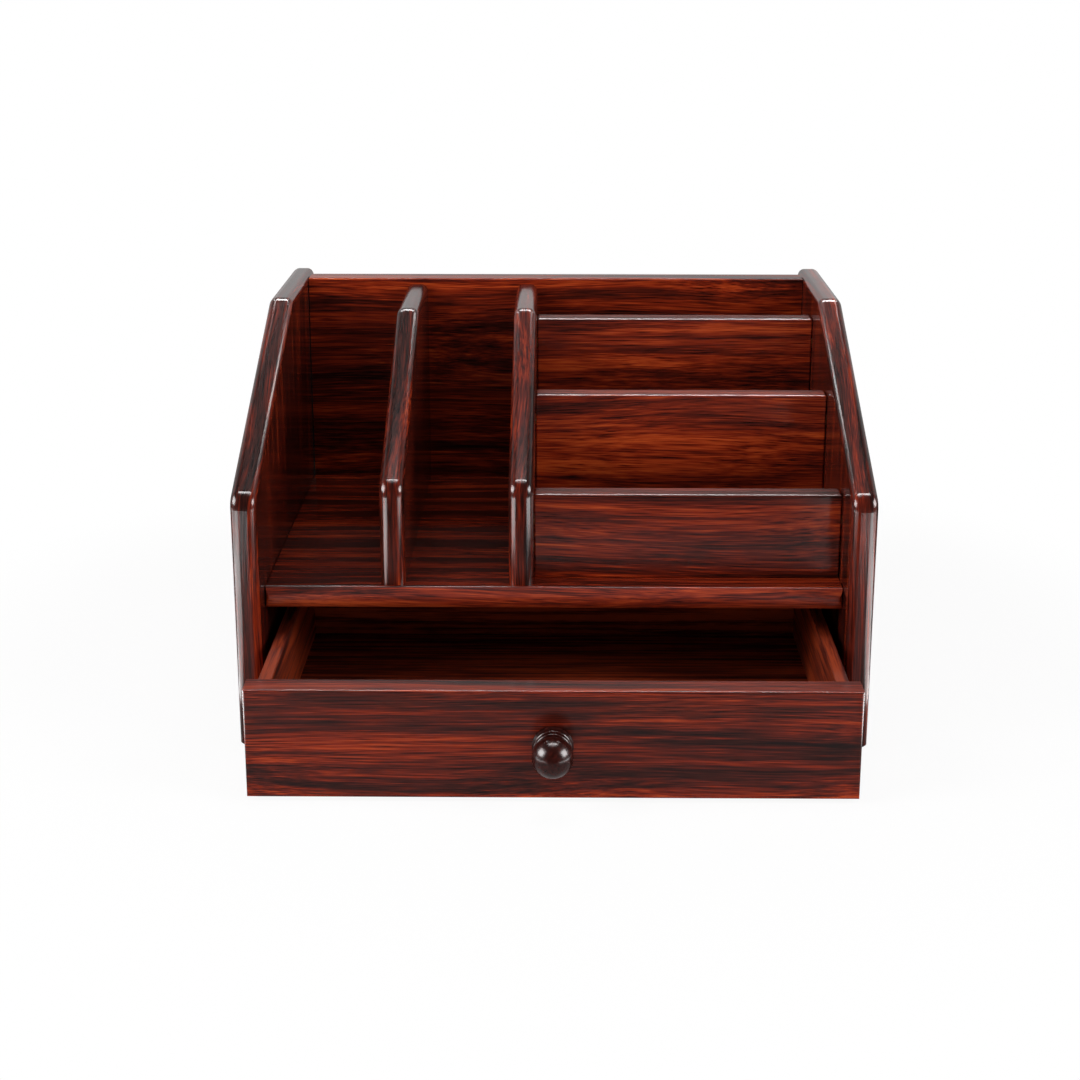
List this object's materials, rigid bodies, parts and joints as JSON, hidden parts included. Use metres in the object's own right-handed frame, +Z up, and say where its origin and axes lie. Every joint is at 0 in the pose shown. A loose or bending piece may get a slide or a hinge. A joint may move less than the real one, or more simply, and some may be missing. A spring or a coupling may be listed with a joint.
{
  "type": "envelope sorter with drawer",
  "caption": "Wooden desk sorter with upright bays, stepped letter slots and a pull-out drawer with a turned knob underneath.",
  "frame": {"origin": "centre of the case's footprint, on the surface that the case stands on; the drawer stands 70 mm open at rest", "axes": "+X to the right seen from the front, +Y to the back, +Z up; the drawer pulls out along -Y"},
  "size_m": [0.341, 0.3657, 0.2155],
  "materials": {
    "lacquered_rosewood": "dark red-brown stain under satin-gloss lacquer",
    "stained_drawer_wood": "red-brown stain, matt",
    "turned_knob_wood": "dark stain under high-gloss lacquer",
    "beech_dowel": "bare",
    "zinc_plated_steel": "zinc plated"
  },
  "bodies": {
    "case": {"side_panel_left": "lacquered_rosewood", "side_panel_right": "lacquered_rosewood", "back_panel": "lacquered_rosewood", "main_shelf": "lacquered_rosewood", "base_panel": "stained_drawer_wood", "divider_left": "lacquered_rosewood", "divider_right": "lacquered_rosewood", "slot_panel_front": "lacquered_rosewood", "slot_panel_middle": "lacquered_rosewood", "slot_panel_rear": "lacquered_rosewood", "drawer_guide_left": "stained_drawer_wood", "drawer_guide_right": "stained_drawer_wood", "shelf_dowels": "beech_dowel", "back_panel_dowels": "beech_dowel", "divider_dowels": "beech_dowel", "slot_panel_dowels": "beech_dowel", "base_screws": "zinc_plated_steel", "guide_screws": "zinc_plated_steel"},
    "drawer": {"drawer_front": "lacquered_rosewood", "drawer_side_left": "stained_drawer_wood", "drawer_side_right": "stained_drawer_wood", "drawer_back": "stained_drawer_wood", "drawer_bottom": "stained_drawer_wood", "drawer_knob": "turned_knob_wood", "knob_screw": "zinc_plated_steel", "drawer_front_dowels": "beech_dowel", "drawer_back_pins": "beech_dowel"}
  },
  "joints": [
    {"name": "drawer_slide", "type": "slide", "parent": "case", "child": "drawer", "axis": [0, -1, 0], "range_m": [-0.07, 0.06]}
  ]
}
